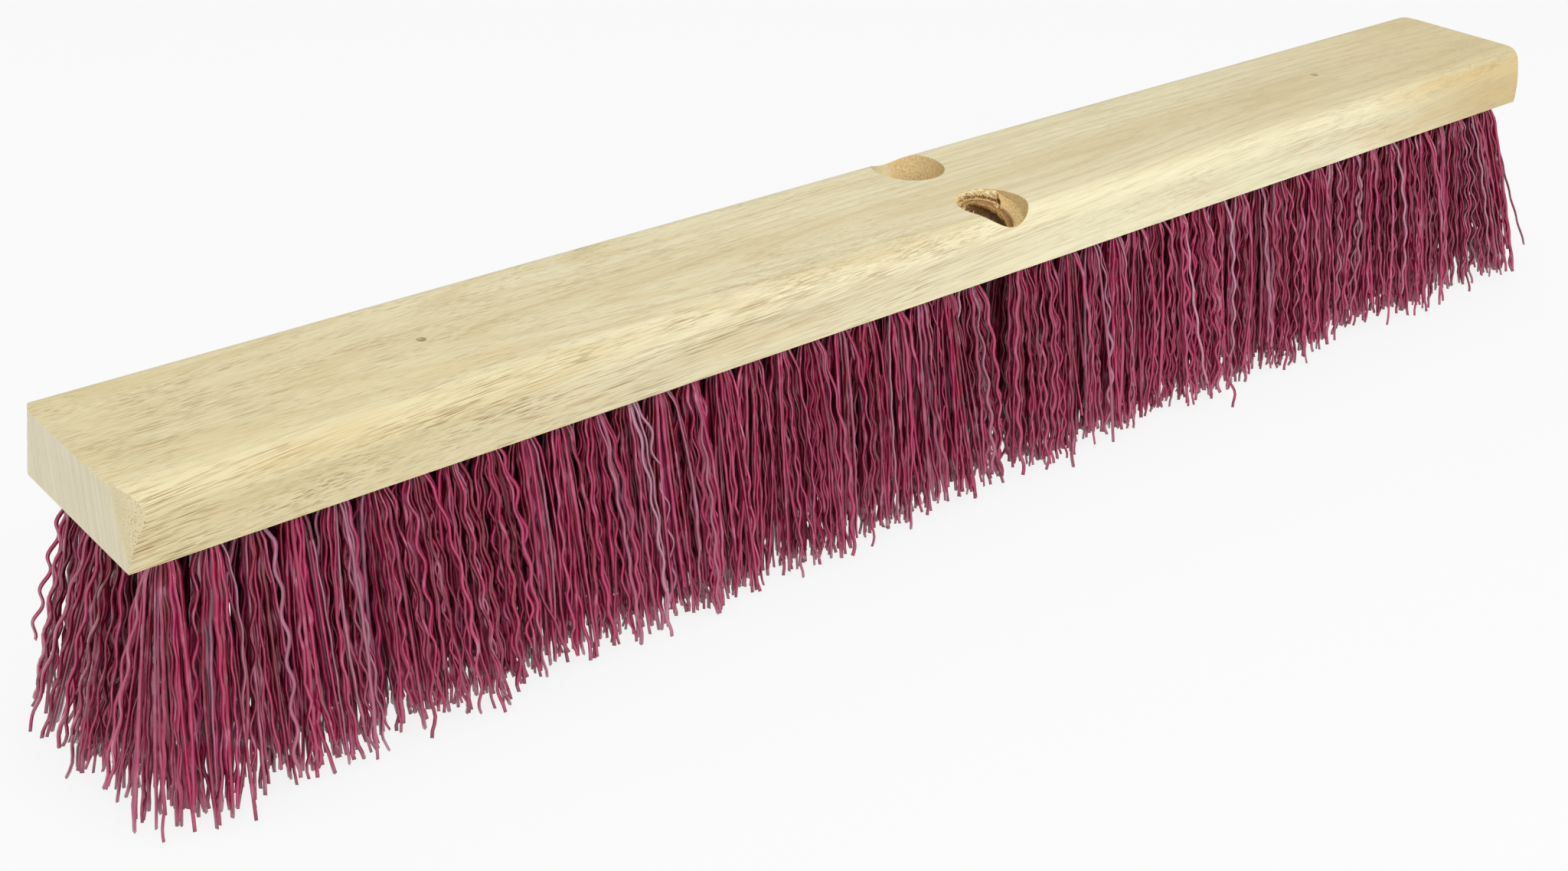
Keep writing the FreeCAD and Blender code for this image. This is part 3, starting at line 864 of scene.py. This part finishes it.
def lining_place(share, bearing):
    """A point of the mouth's lining: its radius, height, tone with painted shade, and how torn it is.

    The share runs from 0 at the rim to 1 inside the bore.
    """
    place = share * (len(TORN_LINING) - 1)
    number = min(int(place), len(TORN_LINING) - 2)
    part = place - number

    def between(row):
        first, second = row[number], row[number + 1]
        return [a + (b - a) * part for a, b in zip(first, second)]

    torn_out, torn_up = between(TORN_LINING)
    even_out, even_up = between(SMOOTH_LINING)
    rim = RIM_HEIGHT - RIM_SLANT * math.sin(math.radians(bearing))
    if torn_up > 0:
        torn_up *= rim - 0.1
    edge = TEAR_EDGE - TEAR_EDGE_SLANT * (TEAR_EDGE_HEIGHT - even_up)
    torn = eased(bearing, edge - 5, edge + 3) * (1 - eased(bearing, *TEAR_FADE))
    out = even_out + (torn_out - even_out) * torn
    up = even_up + (torn_up - even_up) * torn
    # painted shade from the table where the lining is torn, over the even raw tone where it is smooth
    dark = TORN_LINING_SHADE[number] * (1 - part) + TORN_LINING_SHADE[number + 1] * part
    dark = EVEN_DARKNESS + (dark - EVEN_DARKNESS) * torn
    # painted shade: a dark line along the tear's edge
    painted_crack_shade = 1 - eased(abs(bearing - edge), 0.5, 2.5)
    return out, up, dark + 0.45 * painted_crack_shade, torn


def add_lining(bm, layer):
    """The mouth's lining: torn open behind and on the left, smooth on the right."""
    grid = bmesh.ops.create_grid(
        bm, x_segments=LINING_COLUMNS, y_segments=LINING_ROWS, size=0.5
    )["verts"]
    for vert in grid:
        bearing = LINING_START + LINING_SPAN * (vert.co.x + 0.5)
        share = 0.5 - vert.co.y
        out, up, dark, torn = lining_place(share, bearing)
        turn = math.radians(bearing)
        spot = Vector((math.cos(turn) * out, math.sin(turn) * out, up))
        rough = noise.fractal(spot, 1.0, 2.0, 3) * 0.7 + noise.noise(spot / 0.4) * 0.3
        rough *= torn * math.sin(math.pi * share) ** 0.5
        out -= rough * 0.9
        vert.co = (
            math.cos(turn) * out * MM,
            math.sin(turn) * out * MM,
            (up + 0.4 * rough) * MM,
        )
        # painted shade: the torn wood is lighter where it stands out and darker where it sinks back
        vert[layer] = min(1.0, max(0.0, dark - 0.55 * rough))
    faces = dict.fromkeys(face for vert in grid for face in vert.link_faces)
    bmesh.ops.reverse_faces(bm, faces=list(faces))


def add_splinters(bm, layer):
    """Loose fibre ends that stand out of the torn lining."""
    rng = random.Random("splinters")
    for number in range(SPLINTERS):
        bearing = rng.uniform(*SPLINTER_BEARINGS)
        share = rng.uniform(0.04, 0.40)
        if number % 4 == 0:
            share = rng.uniform(0.58, 0.80)
        out, up, dark, _ = lining_place(share, bearing)
        turn = math.radians(bearing)
        inward = Vector((-math.cos(turn), -math.sin(turn), 0.0))
        around = Vector((-inward.y, inward.x, 0.0))
        lean = inward + around * rng.gauss(0, 0.7) + Vector((0, 0, rng.gauss(0.15, 0.5)))
        length = rng.uniform(0.7, 2.0)
        root = Vector((math.cos(turn) * out, math.sin(turn) * out, up)) * MM
        turned = lean.to_track_quat("Z", "Y").to_matrix().to_4x4()
        lift = Matrix.Translation((0, 0, length * 0.4 * MM))
        made = bmesh.ops.create_cone(
            bm,
            cap_ends=True,
            segments=3,
            radius1=rng.uniform(0.10, 0.24) * MM,
            radius2=0.03 * MM,
            depth=length * MM,
            matrix=Matrix.Translation(root) @ turned @ lift,
        )
        shade = rng.uniform(0.0, 0.35) + 0.3 * dark
        for vert in made["verts"]:
            vert[layer] = shade


def hole_stand(mount):
    """Where a hole's own coordinates stand: on its mouth's floor, X to the right, Z up the axis."""
    axis = Vector(mount["axis"])
    right = Vector((1.0, 0.0, 0.0))
    back = axis.cross(right)
    stand = Matrix((right, back, axis)).transposed().to_4x4()
    stand.translation = Vector(mount["pos_m"]) + axis * MOUTH_ABOVE_MOUNT
    return stand


def trim_off(bm, place, outwards):
    """Cut away what lies beyond a plane, and close the cut."""
    bmesh.ops.bisect_plane(
        bm,
        geom=bm.verts[:] + bm.edges[:] + bm.faces[:],
        plane_co=place,
        plane_no=outwards,
        clear_outer=True,
    )
    open_edges = [edge for edge in bm.edges if edge.is_boundary]
    bmesh.ops.holes_fill(bm, edges=open_edges, sides=0)


def make_torn_hole(torn_wood):
    """Everything torn in the front handle hole: its thread, its mouth's lining and the splinters."""
    mount = mount_named("threaded_handle_hole")
    stand = hole_stand(mount)
    bm = bmesh.new()
    # each point carries the raw wood's tone with painted shade
    layer = bm.verts.layers.float.new("tear_tone_and_shade")
    add_thread(bm, layer, mount["dims"]["r_mm"] * MM)
    bmesh.ops.transform(bm, matrix=stand, verts=bm.verts)

    # the thread ends just inside the block's base, and at the mouth's floor
    just_inside = Vector((0, 0, HOLE_MOUTH + 0.2 * MM))
    trim_off(bm, just_inside, Vector((0, 0, -1)))
    trim_off(bm, stand.translation, Vector(mount["axis"]))
    bmesh.ops.recalc_face_normals(bm, faces=bm.faces)
    bmesh.ops.transform(bm, matrix=stand.inverted(), verts=bm.verts)
    add_lining(bm, layer)
    add_splinters(bm, layer)
    bmesh.ops.transform(bm, matrix=stand, verts=bm.verts)
    mesh = bpy.data.meshes.new("torn_hole")
    bm.to_mesh(mesh)
    bm.free()
    mesh.materials.append(torn_wood)
    hole = bpy.data.objects.new("torn_hole", mesh)
    bpy.context.collection.objects.link(hole)
    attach(hole, "root")


# ---------------------------------------------------------------- studio

# The white surroundings light the object less than they show in the view, and the floor's own
# glow is only seen, directly or in a reflection.
FLOOR_GLOW = 0.84
ROOM_LIGHT = 0.52
ROOM_SEEN = 1.0


def make_floor():
    """A plain white floor that keeps the broom's soft shadow."""
    bm = bmesh.new()
    bmesh.ops.create_grid(bm, x_segments=1, y_segments=1, size=6.0)
    mesh = bpy.data.meshes.new("studio_floor")
    bm.to_mesh(mesh)
    bm.free()
    floor = bpy.data.objects.new("studio_floor", mesh)
    bpy.context.collection.objects.link(floor)
    material, tree, shader = new_material("white_floor")
    shader.inputs["Base Color"].default_value = (0.82, 0.82, 0.82, 1.0)
    shader.inputs["Roughness"].default_value = 0.9
    shader.inputs["Specular IOR Level"].default_value = 0.0
    glow = add(tree, "Emission", {"Color": (1.0, 1.0, 1.0, 1.0), "Strength": 1.0})
    seen = add(tree, "LightPath").outputs
    direct = calc(tree, "MAXIMUM", seen["Is Camera Ray"], seen["Is Glossy Ray"])
    direct = calc(tree, "MAXIMUM", direct, seen["Is Transmission Ray"])
    share = calc(tree, "MULTIPLY", direct, FLOOR_GLOW)
    mixed = add(
        tree, "MixShader", {0: share, 1: shader.outputs["BSDF"], 2: glow.outputs["Emission"]}
    )
    tree.links.new(mixed.outputs[0], tree.nodes["Material Output"].inputs["Surface"])
    mesh.materials.append(material)


def make_lamp(name, place, aim, size, power):
    """A soft square lamp that faces a point."""
    lamp = bpy.data.lights.new(name, "AREA")
    lamp.shape = "SQUARE"
    lamp.size = size
    lamp.energy = power
    holder = bpy.data.objects.new(name, lamp)
    holder.location = place
    holder.rotation_euler = (Vector(aim) - Vector(place)).to_track_quat("-Z", "Y").to_euler()
    bpy.context.collection.objects.link(holder)


def make_studio():
    """White surroundings, soft lamps and the floor."""
    make_floor()
    world = bpy.data.worlds.new("white_room")
    bpy.context.scene.world = world
    world.use_nodes = True
    tree = world.node_tree
    sky = tree.nodes["Background"]
    sky.inputs["Color"].default_value = (1.0, 1.0, 1.0, 1.0)
    seen = add(tree, "LightPath").outputs
    direct = calc(tree, "MAXIMUM", seen["Is Camera Ray"], seen["Is Transmission Ray"])
    level = calc(tree, "MULTIPLY_ADD", direct, ROOM_SEEN - ROOM_LIGHT)
    level.node.inputs[2].default_value = ROOM_LIGHT
    tree.links.new(level, sky.inputs["Strength"])
    middle = (0, 0, 0.06)
    make_lamp("key_lamp", (-0.9, -1.1, 1.5), middle, 0.5, 6.8)
    make_lamp("front_lamp", (0.1, -1.5, 1.0), middle, 1.0, 9.0)
    make_lamp("top_lamp", (0.0, 0.0, 1.8), middle, 1.2, 4.7)
    make_lamp("end_lamp", (-1.6, 0.2, 0.8), middle, 1.0, 4.0)


def make_camera():
    """The camera at the near left corner, looking down along the block."""
    data = bpy.data.cameras.new("camera")
    data.sensor_width = 36.0
    data.lens = 45.63
    data.clip_start = 0.02
    data.clip_end = 30.0
    camera = bpy.data.objects.new("camera", data)
    camera.location = (-0.45357, -0.43776, 0.33926)
    camera.rotation_euler = [math.radians(part) for part in (61.618, -1.902, -40.307)]
    bpy.context.collection.objects.link(camera)
    bpy.context.scene.camera = camera


# ---------------------------------------------------------------- putting it together

wood = make_hardwood()
plastic = make_bristle_plastic()
steel = make_staple_wire()

for name, node in frame["nodes"].items():
    if name == "block":
        node.material_slots[0].material = wood
    elif name.startswith("staples"):
        node.material_slots[0].material = steel

profile = bristle_profile()
for row_name, row in ROWS:
    for side in SIDES:
        make_row(row_name + "_" + side, row, plastic, profile)
make_torn_hole(make_torn_wood())

make_studio()
make_camera()
bpy.context.scene.view_settings.view_transform = "Standard"
